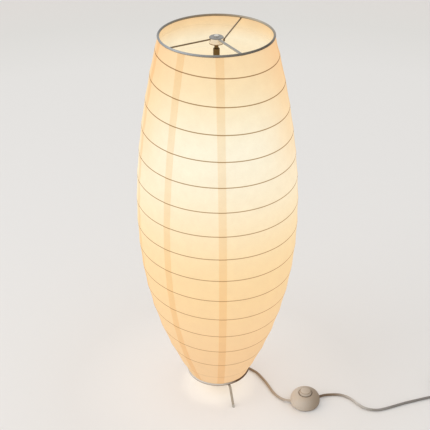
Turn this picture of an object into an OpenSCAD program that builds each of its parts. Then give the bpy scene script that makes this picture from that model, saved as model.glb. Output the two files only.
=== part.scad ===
// Paper lantern floor lamp. A tall paper shade on wire hoops is stretched between a
// ring on three wire legs and a ring on a three-armed spider. A post on the base hub
// carries the lampholder, and a harp on the post pushes the spider up. The lead leaves
// the base hub, runs through a foot switch and ends in a two-pin plug beside its coil.
// Azimuths are in degrees from the front (-Y) towards the right (+X).

/* [Shade] */
// Largest outside diameter of the paper
shade_d = 358; // [320:2:400]
// Outside diameter of the paper at its top edge
shade_top_d = 240; // [200:2:260]
// Outside diameter of the paper at its bottom edge
shade_bottom_d = 148; // [130:2:160]
// Height of the paper from edge to edge
shade_h = 850; // [800:5:900]
// Height of the widest place above the paper's bottom edge
belly_h = 446; // [400:2:500]
// Thickness of the paper
paper_t = 0.5; // [0.4:0.1:0.8]
// Distance from the paper's top edge to the highest hoop
top_margin = 35.5; // [25:0.5:45]
// Distance from the paper's bottom edge to the lowest hoop
bottom_margin = 33; // [25:0.5:45]
// Wire diameter of the hoops
hoop_wire_d = 1.6; // [1.2:0.1:2.4]
// Width of the paper strips glued over the joints of the sheets
strip_w = 18; // [12:1:24]
// Thickness of those strips
strip_t = 0.4; // [0.3:0.1:0.6]

/* [Spider] */
// Wire diameter of the top ring
top_wire_d = 5; // [3:0.5:6]
// Wire diameter of the spider's arms
arm_d = 3.2; // [3:0.2:4]
// Diameter of the spider's pressed hub
spider_hub_d = 30; // [28:1:40]
// Depth of the hub's skirt, with its top
spider_hub_h = 14; // [10:1:16]
// Sheet thickness of the hub
spider_hub_t = 1.5; // [1:0.5:2]
// Depth of the hub's top below the top ring's centre
hub_drop = 4; // [2:0.5:8]
// Diameter of the flat nut on top of the hub
finial_d = 10; // [9:0.5:12]
// Height of the nut
finial_h = 3; // [2.5:0.5:5]

/* [Harp] */
// Wire diameter of the harp
harp_d = 4; // [3:0.5:4.5]
// Distance between the harp's two wires at their widest, centre to centre
harp_w = 108; // [90:2:120]
// Diameter of the ferrule that holds the wires together
ferrule_d = 13.6; // [12:0.2:16]
// Length of the ferrule
ferrule_len = 28; // [24:1:36]
// Diameter of the threaded stud on the ferrule
stud_d = 6; // [5:0.5:6]
// Distance between the two sockets of the saddle, centre to centre
saddle_w = 54; // [50:1:60]
// Thickness of the saddle's strip
saddle_t = 1.5; // [1:0.5:2]
// Height of the saddle's sockets
socket_h = 18; // [14:1:24]

/* [Post] */
// Outside diameter of the post
post_d = 14; // [13:0.5:16]
// Wall of the post's tubes
post_wall = 1; // [0.8:0.1:1.2]
// Length of the lower tube
lower_len = 277; // [240:1:300]
// Length of the upper tube above the joint
upper_len = 277; // [240:1:300]
// Length of the upper tube's spigot
spigot_len = 25; // [20:1:35]

/* [Base] */
// Height of the base ring's centre above the floor
ring_h = 53; // [46:1:62]
// Wire diameter of the base ring
ring_wire_d = 7; // [5:0.5:8]
// Distance from the lamp's axis to the middle of a foot
foot_r = 100; // [95:1:110]
// Wire diameter of the legs
leg_d = 6; // [5:0.5:6.5]
// Inner bend radius of a leg, measured at its centre line
leg_bend_r = 10; // [8:1:12]
// Height of the plastic leg tips
tip_h = 6; // [4:0.5:10]
// Diameter of the base hub
base_hub_d = 34; // [30:1:40]
// Height of the base hub
base_hub_h = 32; // [30:1:36]

/* [Lampholder and bulb] */
// Outside diameter of the lampholder's shell
holder_d = 39.5; // [38:0.5:42]
// Height of the lampholder's shell
shell_h = 42; // [38:1:44]
// Wall of the lampholder's shell
shell_wall = 1.75; // [1.5:0.25:2]
// Diameter of the bulb's glass
bulb_d = 60; // [56:1:66]
// Height of the centre of the bulb's globe above the lampholder's rim
globe_h = 53; // [50:1:58]

/* [Lead] */
// Diameter of the lead
lead_d = 6; // [5:0.5:6.5]
// Diameter of the stripped lead inside the post
core_lead_d = 5; // [4:0.5:5.5]
// Width of the tie around the coil
tie_w = 9; // [6:1:14]

/* [Foot switch] */
// Largest diameter of the switch
switch_d = 71; // [66:1:74]
// Height of the switch's housing
switch_h = 31; // [30:1:34]
// Wall of the housing
switch_wall = 2.2; // [1.8:0.2:2.6]
// Diameter of the push button where it leaves the housing
button_d = 30; // [27:1:31]
// How far the button stands out of the housing
button_rise = 6.5; // [5:0.5:8]
// Travel of the button
button_travel = 3.5; // [2:0.5:4]

/* [Plug] */
// Width of the plug's body
plug_w = 34; // [30:1:38]
// Thickness of the plug's body
plug_t = 16; // [14:1:18]
// Length of the plug's body
plug_len = 36; // [30:1:42]
// Length of the tapered tail where the lead enters the plug
plug_tail = 28; // [22:1:40]
// Diameter of a pin
pin_d = 4; // [3.8:0.1:4.8]
// Length of a pin
pin_len = 19; // [17:1:20]
// Distance between the pins, centre to centre
pin_pitch = 19; // [17:1:20]

/* [Hidden] */
$fn = 64;
bend_step = 18;      // degrees between the rings of a bent wire
wire_sides = 16;

// Clearances
seat_gap = 0.1;      // between round pieces that are welded, glued or pressed together
hoop_gap = 0.2;      // glue between a hoop and the paper
slide_gap = 0.35;    // round the button in its housing
bore_gap = 0.2;      // round a tube, stud or lead in its hole
fold = 0.01;         // how far a cut runs past the face that it opens

// Azimuths of the three legs, the spider's arms and the joints between the paper sheets
leg_az = [21, 132, 228];
arm_az = [-57, 27, 154];
seam_az = [-74, -35, 5, 86, 132, 178, 224];

// Shade: heights are above the floor, profile heights above the paper's bottom edge
hoop_count = 15;
paper_z = ring_h + ring_wire_d / 2;
paper_top_z = paper_z + shade_h;
hoop_pitch = (shade_h - top_margin - bottom_margin) / (hoop_count - 1);
upper_bend = 1.82;   // the power that rounds the profile above the belly
lower_bend = 2.2;    // the power that rounds it below
edge_inset = 1.5;    // from the paper's outside in to the centre line of the ring at its edge
strip_arc = 24;      // span of the shell that a strip is cut from

function profile_r(z) =
    z >= belly_h
        ? shade_d / 2 - (shade_d - shade_top_d) / 2
            * pow((z - belly_h) / (shade_h - belly_h), upper_bend)
        : shade_d / 2 - (shade_d - shade_bottom_d) / 2
            * pow((belly_h - z) / belly_h, lower_bend);
function hoop_level(i) = shade_h - top_margin - i * hoop_pitch;
levels = concat([0], [for (i = [hoop_count - 1:-1:0]) hoop_level(i)], [shade_h]);

// Spider
top_ring_r = shade_top_d / 2 - edge_inset;
top_ring_z = paper_top_z + top_wire_d / 2;
spider_top = top_ring_z - hub_drop;
arm_depth = 3.2;     // of the arms' centre lines at the hub, below its top
arm_ring_z = top_ring_z - top_wire_d / 2 - arm_d / 2 - seat_gap;
arm_hub_z = spider_top - arm_depth;
arm_in = spider_hub_d / 2 + seat_gap;
arm_out = top_ring_r + edge_inset / 2;
arm_hook = 5;        // length of the back arm's end, bent down along the hub
arm_bend_r = 3;
hub_corner = 2;      // rounding of the pressed hub's edge
nut_roof = 1;        // of the nut over the end of the stud
nut_edge = 0.8;      // chamfer of the nut

// Base
ring_r = shade_bottom_d / 2 - edge_inset;
leg_z = ring_h - ring_wire_d / 2 - leg_d / 2 - seat_gap;
leg_turn = 5;        // from the ring's centre line out to the corner of a leg
leg_socket = 6;      // depth of a leg in the base hub
base_hub_top = ring_h + 5;
base_hub_z = base_hub_top - base_hub_h;
post_seat = 12;      // depth of the post in the base hub
lead_bore_d = 9;     // bore below the post's seat
hub_floor = 4;
gland_z = base_hub_z + 8;
gland_spigot_d = 8;
gland_spigot_len = 8;
hub_chamfer = 2;

// Post
post_z = base_hub_top - post_seat;
joint_z = post_z + lower_len;
post_top = joint_z + upper_len;
nipple_d = 10;
nipple_len = 11;
neck_len = 14;       // thick ends of the upper tube

// Lampholder and bulb, heights from the top of the saddle
saddle_top = post_top + saddle_t;
base_dome_h = 18.5;
nipple_wall = 1.5;
holder_flange = 6;   // flat of the lampholder's base round the nipple
collar_h = 8;
rim_t = 1.6;         // thickness of the shell's lip over the insert
rim_round = 3;       // height of the rounding at the shell's lip
insert_d = 32.2;
insert_h = 14;
sleeve_in_d = 27;
sleeve_wall = 0.7;
sleeve_h = 26;
cap_d = 26.4;
shell_z = saddle_top + base_dome_h;
insert_z = shell_z - 4;
contact_h = 3;
cap_z = insert_z + insert_h + contact_h + bore_gap;
cap_h = 26.5;
rim_z = shell_z + shell_h;
globe_z = rim_z + globe_h;
neck_r = cap_d / 2 + 0.8;
glass_t = 1;

// Harp
socket_wall = 1.5;
saddle_eye = 4;      // width of the saddle round the lampholder's nipple
harp_foot_z = post_top + 3;
harp_out_z = saddle_top + 88;
harp_bend_r = 18;
harp_knee = 18;      // straight run of a wire above its socket
harp_neck = 14;      // straight run of a wire below the ferrule
harp_shoulder = 62;  // from the ferrule down to the full width
stud_top = spider_top + finial_h - nut_roof - seat_gap;
stud_collar = 1.2;   // of the ferrule's neck, outside the stud
neck_below_hub = 10; // from the hub's skirt down to the ferrule
ferrule_top = spider_top - spider_hub_h - neck_below_hub;
ferrule_z = ferrule_top - ferrule_len;
wire_depth = 21;     // of the harp's wires in the ferrule
wire_split = harp_d / 2 + seat_gap;

// Routes of the lead, chosen points along its centre line
to_switch = [
    [24, 32, 34], [28.5, 38, 33.6], [35.5, 44.5, 31], [44.5, 49, 25.5], [54.5, 51, 18],
    [65, 50, 10.5], [75, 47, 5], [84.5, 41.5, 3], [94, 33, 3], [101, 23.5, 3],
    [107.5, 12.5, 3], [113.5, 1.5, 3], [119, -9, 3], [123.8, -20, 3], [128.3, -31, 3],
    [133, -42, 3], [139, -52.5, 3], [146, -61.8, 3.2], [153.5, -69.3, 3.8],
    [161, -74.8, 5], [168.6, -78.3, 6.2], [176.1, -81, 6.5], [182.8, -83, 6.5],
    [189.5, -83.5, 6.5], [195.4, -82.1, 6.5]];
to_coil = [
    [222.6, -75.9, 6.5], [230.2, -74.1, 6.5], [238.6, -69.1, 6.5], [246.3, -64.1, 6.2],
    [255, -59, 5], [264.5, -55.8, 3.8], [275, -54, 3], [288, -53.8, 3], [300, -56.3, 3],
    [311, -61.7, 3], [320.5, -69.3, 3], [329, -79.5, 3], [337.5, -90.5, 3],
    [346.5, -100.3, 3], [357, -106.5, 3], [370, -109.8, 3], [384, -109.8, 3],
    [398, -106, 3], [412, -100.8, 3], [426, -95.3, 3], [440, -89.8, 3], [454, -84.6, 3],
    [468, -80, 3], [482, -75.5, 3], [496, -71, 3], [510, -66.8, 3], [524, -63.6, 3],
    [538, -62.2, 3], [552, -62, 3.4], [566, -62, 4], [579, -62, 4]];

// Coil: two layers, wound inwards on the floor and outwards on top
coil_xy = [585, -20.5];
coil_in_r = 25;
coil_step = lead_d + 0.6;
coil_lift = 1;       // the tie's thickness and play below the lowest turns
coil_dip = 1.5;      // how far the climbing half turn is drawn in
turns_low = 2.5;
turns_climb = 0.5;
turns_high = 3.25;
loop_rings = 24;
coil_z = lead_d / 2 + coil_lift;
plug_z = plug_t / 2;
tie_t = 0.7;
tie_gap = 0.3;

// Foot switch, heights above the floor
switch_xy = [209, -79];
base_plate_h = 3;
base_plate_inset = 3;
belly_z = 11;        // height of the widest place of the housing
skirt_z = 1.4;       // lower edge of the housing
contact_block_d = 30;
contact_block_h = 13;
spring_post_d = 6;
spring_post_h = 5;
flange_r = button_d / 2 + 2.2;
flange_h = 2;
button_in_r = 10;
button_roof = 4;
button_top = switch_h + button_rise;
spring_r = 5;
spring_wire_d = 1;
spring_turns = 5;
screw_r = 1.5;
screw_head_r = 3;
screw_len = 13;
screw_y = 22;

// ---------- wires and tubes ----------

// Turns a plan in X and Z towards an azimuth
module towards(az) {
    rotate([0, 0, az - 90]) children();
}

function unit(v) = v / norm(v);
function turn_of(u, v) = atan2(u.x * v.y - u.y * v.x, u * v);
function turned(v, a) = [v.x * cos(a) - v.y * sin(a), v.x * sin(a) + v.y * cos(a)];

// Points along a bend of radius r at corner q of the path p, q, s
function bend(p, q, s, r) =
    let (u = unit(q - p), turn = turn_of(u, unit(s - q)), steps = ceil(abs(turn) / bend_step),
         start = q - r * tan(abs(turn) / 2) * u,
         centre = start + r * (turn > 0 ? [-u.y, u.x] : [u.y, -u.x]))
    [for (k = [0:steps]) centre + turned(start - centre, turn * k / steps)];

// A wire in the XZ plane through the given corners, each but the ends rounded
module bent_wire(path, r, d) {
    last = len(path) - 1;
    line = concat([path[0]],
        [for (i = [1:1:last - 1]) each bend(path[i - 1], path[i], path[i + 1], r)],
        [path[last]]);
    swept_tube([for (q = line) [q.x, 0, q.y]], d, wire_sides, [0, 1, 0]);
}

module wire_ring(r, z, d) {
    rotate_extrude($fn = 96) translate([r, z]) circle(d = d);
}

// A tube swept along points. Without a fixed side, the line may not run straight up
function tangent(p, i) = unit(p[min(i + 1, len(p) - 1)] - p[max(i - 1, 0)]);
function ring_at(p, i, r, n, flat_side) =
    let (t = tangent(p, i), side = flat_side ? flat_side : unit(cross([0, 0, 1], t)),
         up = cross(t, side))
    [for (k = [0:n - 1]) p[i] + r * (cos(360 * k / n) * up + sin(360 * k / n) * side)];

module swept_tube(p, d, n, flat_side) {
    last = len(p) - 1;
    verts = [for (i = [0:last]) each ring_at(p, i, d / 2, n, flat_side)];
    sides = [for (i = [0:last - 1], k = [0:n - 1])
        let (a = i * n + k, b = i * n + (k + 1) % n)
        each [[a, b, b + n], [a, b + n, a + n]]];
    caps = [for (k = [1:n - 2]) each [
        [0, k + 1, k], [last * n, last * n + k, last * n + k + 1]]];
    polyhedron(verts, concat(sides, caps));
}

// ---------- shade ----------

module hoop(i) {
    z = hoop_level(i);
    r = profile_r(z) - paper_t - hoop_gap - hoop_wire_d / 2;
    color("peru") wire_ring(r, paper_z + z, hoop_wire_d);
}

// Section of a skin between two offsets from the paper's outside
module skin(inner, outer, low, high) {
    inside = [for (z = levels) if (z > low && z < high) z];
    zs = concat([low], inside, [high]);
    translate([0, paper_z])
        polygon(concat(
            [for (z = zs) [profile_r(z) + outer, z]],
            [for (i = [len(zs) - 1:-1:0]) [profile_r(zs[i]) + inner, zs[i]]]));
}

module paper_sheet(i) {
    next = i + 1 < len(seam_az) ? seam_az[i + 1] : seam_az[0] + 360;
    color("moccasin")
        towards(seam_az[i])
            rotate_extrude(angle = next - seam_az[i], $fn = 96)
                skin(-paper_t, 0, 0, shade_h);
}

module joint_strips() {
    color("burlywood")
        for (az = seam_az)
            towards(az)
                intersection() {
                    rotate([0, 0, -strip_arc / 2])
                        rotate_extrude(angle = strip_arc, $fn = 96)
                            skin(seat_gap, seat_gap + strip_t, 1, shade_h - 1);
                    translate([0, -strip_w / 2, paper_z - 1])
                        cube([shade_d, strip_w, shade_h + 2]);
                }
}

// ---------- spider ----------

module top_ring() {
    color("dimgray") wire_ring(top_ring_r, top_ring_z, top_wire_d);
}

// The arms dip from the ring down to the hub
function arm_run() = [arm_out - arm_in, arm_ring_z - arm_hub_z];

module spider_arm_left() {
    color("gray")
        towards(arm_az[0])
            translate([arm_in, 0, arm_hub_z])
                rotate([0, atan2(arm_run().x, arm_run().y), 0])
                    cylinder(h = norm(arm_run()), d = arm_d);
}

// Doubled: one wire runs out to the ring, turns and comes back beside itself
module spider_arm_right() {
    half = arm_d / 2 + seat_gap;
    reach = norm(arm_run()) - arm_d / 2;
    color("gray")
        towards(arm_az[1])
            translate([arm_in, 0, arm_hub_z])
                rotate([0, -atan2(arm_run().y, arm_run().x), 0])
                    rotate([90, 0, 0])
                        bent_wire([[0, -half], [reach, -half], [reach, half], [0, half]],
                            half - seat_gap / 2, arm_d);
}

// Runs past the hub's right side and hooks down along it
module spider_arm_back() {
    off = arm_in + arm_d / 2;
    reach = sqrt(arm_out * arm_out - off * off);
    color("gray")
        towards(arm_az[2])
            translate([arm_out, 0, 0])
                rotate([0, 0, 180 + asin(off / arm_out)])
                    bent_wire([[0, arm_ring_z], [reach, arm_hub_z], [reach, arm_hub_z - arm_hook]],
                        arm_bend_r, arm_d);
}

module spider_hub() {
    r = spider_hub_d / 2;
    in_r = r - spider_hub_t;
    c = hub_corner;
    ci = hub_corner - spider_hub_t;
    skirt = spider_top - spider_hub_h;
    roof = spider_top - spider_hub_t;
    color("silver")
        rotate_extrude()
            polygon(concat(
                [[stud_d / 2 + bore_gap, spider_top]],
                [for (a = [90:-15:0]) [r - c + c * cos(a), spider_top - c + c * sin(a)]],
                [[r, skirt], [in_r, skirt]],
                [for (a = [0:15:90]) [in_r - ci + ci * cos(a), roof - ci + ci * sin(a)]],
                [[stud_d / 2 + bore_gap, roof]]));
}

module finial_nut() {
    r = finial_d / 2;
    bore = stud_d / 2 + bore_gap;
    color("gray")
        translate([0, 0, spider_top])
            rotate_extrude()
                polygon([[bore, 0], [r, 0], [r, finial_h - nut_edge], [r - nut_edge, finial_h],
                    [0, finial_h], [0, finial_h - nut_roof], [bore, finial_h - nut_roof]]);
}

// ---------- harp ----------

module harp_ferrule() {
    r = ferrule_d / 2;
    bore = wire_split + harp_d / 2 + seat_gap;
    under = spider_top - spider_hub_t - seat_gap;
    color("saddlebrown")
        difference() {
            rotate_extrude()
                polygon([[0, ferrule_z], [r - 0.8, ferrule_z], [r, ferrule_z + 0.8],
                    [r, ferrule_top - 1.5], [r - 1.5, ferrule_top],
                    [stud_d / 2 + stud_collar, ferrule_top], [stud_d / 2 + stud_collar, under],
                    [stud_d / 2, under], [stud_d / 2, stud_top], [0, stud_top]]);
            translate([0, 0, ferrule_z - fold]) cylinder(h = wire_depth + fold, r = bore);
        }
}

module harp() {
    color("gray")
        for (side = [0, 180])
            rotate([0, 0, side])
                bent_wire([[saddle_w / 2, harp_foot_z],
                    [saddle_w / 2, saddle_top + socket_h + harp_knee],
                    [harp_w / 2, harp_out_z],
                    [harp_w / 2, ferrule_z - harp_shoulder],
                    [wire_split, ferrule_z - harp_neck],
                    [wire_split, ferrule_z + wire_depth - 1]],
                    harp_bend_r, harp_d);
}

module harp_saddle() {
    socket_r = harp_d / 2 + seat_gap + socket_wall;
    color("silver")
        difference() {
            union() {
                translate([-saddle_w / 2, -socket_r, post_top])
                    cube([saddle_w, 2 * socket_r, saddle_t]);
                translate([0, 0, post_top]) cylinder(h = saddle_t, r = nipple_d / 2 + saddle_eye);
                for (side = [-1, 1])
                    translate([side * saddle_w / 2, 0, post_top])
                        cylinder(h = socket_h, r = socket_r);
            }
            translate([0, 0, post_top - fold])
                cylinder(h = saddle_t + 2 * fold, d = nipple_d + 2 * bore_gap);
            for (side = [-1, 1])
                translate([side * saddle_w / 2, 0, harp_foot_z - seat_gap])
                    cylinder(h = socket_h, d = harp_d + 2 * seat_gap);
        }
}

// ---------- lampholder and bulb ----------

module holder_base() {
    r = holder_d / 2;
    collar_r = r - shell_wall - bore_gap;
    color("dimgray")
        rotate_extrude()
            polygon([
                [nipple_d / 2 - nipple_wall, saddle_top - saddle_t - nipple_len],
                [nipple_d / 2, saddle_top - saddle_t - nipple_len],
                [nipple_d / 2, saddle_top + seat_gap],
                [nipple_d / 2 + holder_flange, saddle_top + seat_gap],
                [r - 5, saddle_top + 3.5], [r - 1.8, saddle_top + 9],
                [r, shell_z - 2.5], [r, shell_z],
                [collar_r, shell_z], [collar_r, shell_z + collar_h],
                [insert_d / 2 + bore_gap, shell_z + collar_h],
                [insert_d / 2 + bore_gap, insert_z],
                [insert_d / 2 - 3, insert_z], [insert_d / 2 - 4, saddle_top + 8],
                [nipple_d / 2 + 2, saddle_top + 3.5],
                [nipple_d / 2 - nipple_wall, saddle_top + 3.5]]);
}

module holder_shell() {
    r = holder_d / 2;
    z = shell_z + seat_gap;
    color("dimgray")
        rotate_extrude()
            polygon([
                [r - shell_wall, z], [r, z], [r, rim_z - rim_round], [r - 1, rim_z],
                [neck_r + 2, rim_z], [neck_r + 2, rim_z - rim_t],
                [r - shell_wall, rim_z - rim_t - shell_wall]]);
}

module holder_insert() {
    color("beige")
        translate([0, 0, insert_z]) {
            rotate_extrude()
                polygon([[0, 0], [insert_d / 2, 0], [insert_d / 2, insert_h],
                    [sleeve_in_d / 2 + sleeve_wall, insert_h],
                    [sleeve_in_d / 2 + sleeve_wall, insert_h + sleeve_h],
                    [sleeve_in_d / 2, insert_h + sleeve_h], [sleeve_in_d / 2, insert_h],
                    [4, insert_h], [3.4, insert_h + contact_h], [0, insert_h + contact_h]]);
        }
}

module bulb_cap() {
    color("silver")
        translate([0, 0, cap_z])
            rotate_extrude()
                polygon([[0, 0], [4.5, 0], [5.5, 1.2], [9, 2.4], [cap_d / 2 - 1.6, 6],
                    [cap_d / 2, 7.5], [cap_d / 2, cap_h], [0, cap_h]]);
}

// Outside of the glass, shrunk by t: a neck that flares into a round globe
function glass_line(t) =
    let (r = bulb_d / 2, foot = cap_z + cap_h)
    concat([[neck_r - t, foot], [neck_r - t, foot + 6],
            [neck_r - t + 1.5, foot + 13], [neck_r - t + 4.5, foot + 20]],
        [for (a = [-45:15:75]) [(r - t) * cos(a), globe_z + (r - t) * sin(a)]],
        [[0, globe_z + r - t]]);

module bulb_glass() {
    inner = glass_line(glass_t);
    color("ivory", 0.5)
        rotate_extrude()
            polygon(concat(glass_line(0), [for (i = [len(inner) - 1:-1:0]) inner[i]]));
}

module bulb_filaments() {
    foot = cap_z + cap_h;
    low = globe_z - 20;
    color("khaki")
        union() {
            translate([0, 0, foot]) cylinder(h = 14, r1 = 8, r2 = 3);
            translate([0, 0, foot + 14 - fold]) cylinder(h = globe_z + 18 - foot - 14, r = 1.4);
            translate([0, 0, low]) cylinder(h = 2, r = 9);
            translate([0, 0, globe_z + 16]) cylinder(h = 2, r = 9);
            for (a = [45:90:315])
                rotate([0, 0, a]) translate([8, 0, low]) cylinder(h = 37, r = 1);
        }
}

// ---------- post ----------

module post_upper() {
    r = post_d / 2;
    spigot_r = r - post_wall - bore_gap / 2;
    color("silver")
        rotate_extrude()
            polygon([
                [spigot_r - post_wall, joint_z - spigot_len], [spigot_r, joint_z - spigot_len],
                [spigot_r, joint_z + seat_gap], [r, joint_z + seat_gap], [r, post_top],
                [nipple_d / 2 + bore_gap, post_top], [nipple_d / 2 + bore_gap, post_top - neck_len],
                [r - post_wall, post_top - neck_len - 2], [r - post_wall, joint_z + neck_len],
                [spigot_r - post_wall, joint_z + neck_len - 2]]);
}

module post_lower() {
    color("silver")
        translate([0, 0, post_z])
            difference() {
                cylinder(h = lower_len, d = post_d);
                translate([0, 0, -fold])
                    cylinder(h = lower_len + 2 * fold, d = post_d - 2 * post_wall);
            }
}

module post_lead() {
    turn = gland_azimuth();
    start = base_hub_d / 2 - gland_spigot_len;
    color("whitesmoke")
        towards(turn)
            bent_wire([[start, gland_z], [0, gland_z], [0, insert_z]], 8, core_lead_d);
}

// ---------- base ----------

function gland_azimuth() = atan2(to_switch[0].y, to_switch[0].x) + 90;
function gland_reach() = norm([to_switch[0].x, to_switch[0].y]);

module base_hub() {
    r = base_hub_d / 2;
    c = hub_chamfer;
    color("silver")
        difference() {
            rotate_extrude()
                polygon([[0, base_hub_z], [r - c, base_hub_z], [r, base_hub_z + c],
                    [r, base_hub_top - c], [r - c, base_hub_top], [0, base_hub_top]]);
            translate([0, 0, post_z])
                cylinder(h = post_seat + fold, d = post_d + bore_gap);
            translate([0, 0, base_hub_z + hub_floor])
                cylinder(h = base_hub_h, d = lead_bore_d);
            towards(gland_azimuth())
                translate([0, 0, gland_z])
                    rotate([0, 90, 0])
                        cylinder(h = base_hub_d, d = gland_spigot_d + bore_gap);
            for (az = leg_az)
                towards(az)
                    translate([base_hub_d / 2 - leg_socket, 0, leg_z])
                        rotate([0, 90, 0])
                            cylinder(h = base_hub_d, d = leg_d + bore_gap);
        }
}

function leg_corner() = [ring_r + leg_turn, leg_z];
function leg_run() = [foot_r, 0] - leg_corner();
function leg_end() = leg_corner() + leg_run() * (leg_z - tip_h) / leg_z;

module leg(az) {
    color("silver")
        towards(az)
            bent_wire([[base_hub_d / 2 - leg_socket + seat_gap, leg_z], leg_corner(), leg_end()],
                leg_bend_r, leg_d);
}

module leg_tips() {
    color("lightgray")
        for (az = leg_az)
            difference() {
                towards(az)
                    translate([leg_end().x, 0, leg_end().y])
                        rotate([0, atan2(leg_run().x, leg_run().y), 0])
                            cylinder(h = 3 * tip_h, d = leg_d);
                translate([-2 * foot_r, -2 * foot_r, -4 * tip_h])
                    cube([4 * foot_r, 4 * foot_r, 4 * tip_h]);
            }
}

module base_ring() {
    color("gainsboro") wire_ring(ring_r, ring_h, ring_wire_d);
}

// ---------- lead ----------

module lead_gland() {
    hub_r = base_hub_d / 2;
    reach = gland_reach();
    spigot = gland_spigot_d / 2;
    color("gray")
        towards(gland_azimuth())
            translate([0, 0, gland_z])
                rotate([0, 90, 0])
                    rotate_extrude()
                        polygon([[0, hub_r - gland_spigot_len], [spigot, hub_r - gland_spigot_len],
                            [spigot, hub_r + 0.6], [spigot + 1.6, hub_r + 0.6],
                            [spigot + 1.6, hub_r + 3], [spigot + 0.8, hub_r + 4],
                            [lead_d / 2 + 0.6, reach - 1], [lead_d / 2 + 0.2, reach], [0, reach]]);
}

module lead_to_switch() {
    color("gray") swept_tube(to_switch, lead_d, 8);
}

module lead_to_plug() {
    color("gray") swept_tube(to_coil, lead_d, 8);
}

function ease(x) = x * x * (3 - 2 * x);
turns_flat = turns_low + turns_climb;
turns_all = turns_flat + turns_high;
coil_end_r = coil_in_r + coil_step * turns_high;

// Radius and height of the coil's centre line after s turns
function coil_r(s) =
    s <= turns_low ? coil_in_r + coil_step * (turns_low - s)
    : s < turns_flat ? coil_in_r - coil_dip * sin(180 * (s - turns_low) / turns_climb)
    : coil_in_r + coil_step * (s - turns_flat);
function coil_height(s) =
    s <= turns_low ? coil_z
    : s < turns_flat ? coil_z + coil_step * ease((s - turns_low) / turns_climb)
    : s < turns_all - 0.25 ? coil_z + coil_step
    : coil_z + coil_step
        - (coil_z + coil_step - plug_z) * ease((s - turns_all + 0.25) / 0.25);
function coil_point(s) = [
    coil_xy.x + coil_r(s) * cos(360 * s - 90),
    coil_xy.y + coil_r(s) * sin(360 * s - 90),
    coil_height(s)];

coil_points = concat(
    [coil_point(0) - [lead_d, 0, 0]],
    [for (k = [0:turns_all * loop_rings]) coil_point(k / loop_rings)],
    [coil_point(turns_all) + [0, lead_d, 0]]);

// Least distance between stretches of the coil that are half a turn or more apart
half_loop = loop_rings / 2;
coil_gap = min([for (i = [0:len(coil_points) - 1 - half_loop],
        j = [i + half_loop:len(coil_points) - 1])
    norm(coil_points[i] - coil_points[j])]) - lead_d;
echo(coil_least_gap = coil_gap);

module lead_coil() {
    color("gray") swept_tube(coil_points, lead_d, 6);
}

// A flat strap round all the turns on the coil's left side
module coil_tie() {
    near = coil_in_r - coil_dip - lead_d / 2 - tie_gap;
    far = coil_in_r + coil_step * (turns_high - 0.5) + lead_d / 2 + tie_gap;
    high = coil_z + coil_step + lead_d / 2 + tie_gap;
    color("black")
        translate([coil_xy.x, coil_xy.y, 0])
            translate([0, tie_w / 2, 0])
                rotate([90, 0, 0])
                    linear_extrude(tie_w)
                        difference() {
                            translate([-far - tie_t, 0]) square([far - near + 2 * tie_t, high + tie_t]);
                            translate([-far, tie_t]) square([far - near, high - tie_t]);
                        }
}

// ---------- foot switch ----------

module at_switch() {
    translate([switch_xy.x, switch_xy.y, 0]) children();
}

// Direction and distance of a lead's end from the middle of the switch
function lead_in() = [to_switch[len(to_switch) - 1].x, to_switch[len(to_switch) - 1].y] - switch_xy;
function lead_out() = [to_coil[0].x, to_coil[0].y] - switch_xy;

function dome(t) =
    let (r = switch_d / 2 - t, mouth = button_d / 2 + slide_gap)
    concat([[r - 2.2, t > 0 ? base_plate_h + 0.2 : skirt_z], [r - 0.6, belly_z - 5]],
        [for (a = [0:10:80])
            [mouth + 1.2 + (r - mouth - 1.2) * pow(cos(a), 0.75),
             belly_z + (switch_h - t - belly_z) * sin(a)]],
        [[mouth + 1.2, switch_h - t]]);

module switch_housing() {
    outer = dome(0);
    inner = dome(switch_wall);
    mouth = button_d / 2 + slide_gap;
    plate_r = switch_d / 2 - base_plate_inset;
    color("tan")
        at_switch()
            difference() {
                union() {
                    rotate_extrude()
                        polygon(concat(outer, [[mouth, switch_h - 0.5], [mouth, switch_h - switch_wall]],
                            [for (i = [len(inner) - 1:-1:0]) inner[i]],
                            [[plate_r + bore_gap, base_plate_h + 0.2], [plate_r + bore_gap, skirt_z]]));
                    for (side = [-1, 1])
                        translate([0, side * screw_y, base_plate_h + 0.2])
                            cylinder(h = switch_h - switch_wall - base_plate_h - 0.1, r = screw_r + 2);
                }
                for (side = [-1, 1])
                    translate([0, side * screw_y, base_plate_h])
                        cylinder(h = screw_len - base_plate_h + 1.5, r = screw_r + seat_gap);
                lead_hole(to_switch[len(to_switch) - 4], to_switch[len(to_switch) - 5]);
                lead_hole(to_coil[2], to_coil[3]);
            }
}

// Hole for a lead that crosses the wall on its way from a to b
module lead_hole(a, b) {
    run = b - a;
    translate(a - [switch_xy.x, switch_xy.y, 0])
        rotate([0, acos(run.z / norm(run)), atan2(run.y, run.x)])
            translate([0, 0, -4])
                cylinder(h = norm(run) + 4, d = lead_d + 2 * bore_gap);
}

module switch_base() {
    r = switch_d / 2 - base_plate_inset;
    color("saddlebrown")
        at_switch()
            difference() {
                rotate_extrude()
                    polygon([[0, 0], [r - 1, 0], [r, 1], [r, base_plate_h], [0, base_plate_h]]);
                for (side = [-1, 1])
                    translate([0, side * screw_y, 0]) {
                        translate([0, 0, -fold])
                            cylinder(h = base_plate_h + 2 * fold, r = screw_r + bore_gap);
                        translate([0, 0, -fold])
                            cylinder(h = 1.6 + fold, r = screw_head_r + bore_gap);
                    }
            }
}

module switch_screws() {
    color("silver")
        at_switch()
            for (side = [-1, 1])
                translate([0, side * screw_y, 0.4])
                    rotate_extrude()
                        polygon([[0, 0], [screw_head_r, 0], [screw_head_r, 1.2 - seat_gap],
                            [screw_r, 1.2 - seat_gap], [screw_r, screw_len], [0, screw_len]]);
}

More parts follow.
